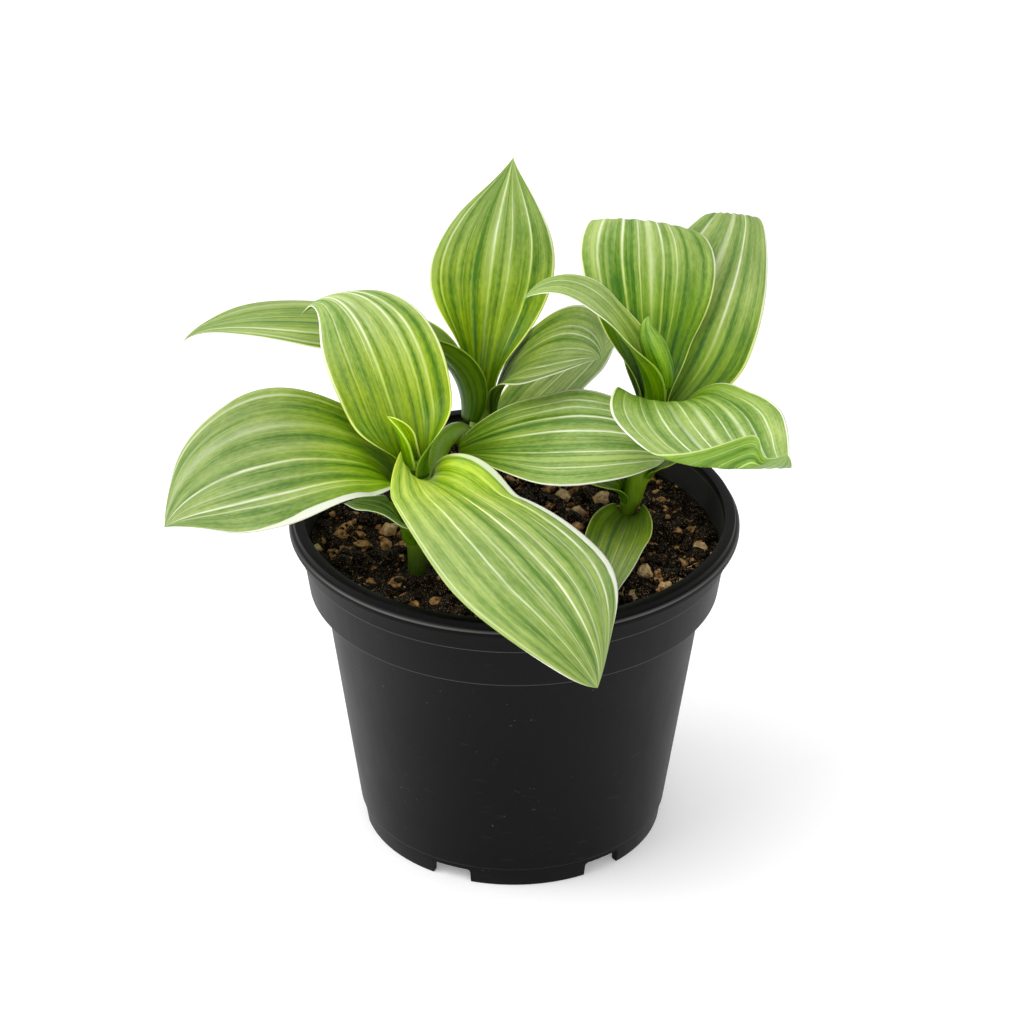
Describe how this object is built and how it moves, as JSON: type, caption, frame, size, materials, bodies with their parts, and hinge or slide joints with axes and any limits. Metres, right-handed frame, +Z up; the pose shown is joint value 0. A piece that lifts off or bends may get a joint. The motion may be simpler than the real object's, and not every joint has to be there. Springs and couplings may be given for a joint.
{
  "type": "potted tradescantia plant",
  "caption": "Young leafy patio plant with broad pointed leaves, striped lengthwise, clasping fleshy stems in a black plastic nursery pot of soil.",
  "frame": {"origin": "middle of the whole plant's outline in plan, on the surface that the pot stands on; the pot's own axis is 10.6 mm to +X and 7.8 mm to +Y of it", "axes": "+Z up; the front, where the broadest leaf hangs over the rim, looks along -Y; +X is to the right of that view"},
  "size_m": [0.1774, 0.1645, 0.1921],
  "materials": {
    "pot_plastic": "black moulded plastic, matte with a faint sheen",
    "soil": "damp dark potting mix with bark and pumice chips",
    "stem_green": "smooth fleshy green stem",
    "leaf_green": "satin leaf, green with lengthwise pale stripes"
  },
  "bodies": {
    "root": {"pot": "pot_plastic", "soil": "soil", "forked_stem": "stem_green", "right_stem": "stem_green", "left_leaf_low": "leaf_green", "left_leaf_big": "leaf_green", "left_leaf_front": "leaf_green", "left_leaf_back": "leaf_green", "left_bud": "leaf_green", "middle_leaf_low": "leaf_green", "middle_leaf_left": "leaf_green", "middle_leaf_right": "leaf_green", "middle_leaf_up": "leaf_green", "crossing_leaf": "leaf_green", "right_leaf_low": "leaf_green", "right_leaf_side": "leaf_green", "right_leaf_small": "leaf_green", "right_leaf_front": "leaf_green", "right_leaf_far": "leaf_green", "right_leaf_back": "leaf_green", "right_leaf_left": "leaf_green", "right_bud": "leaf_green"}
  },
  "joints": []
}
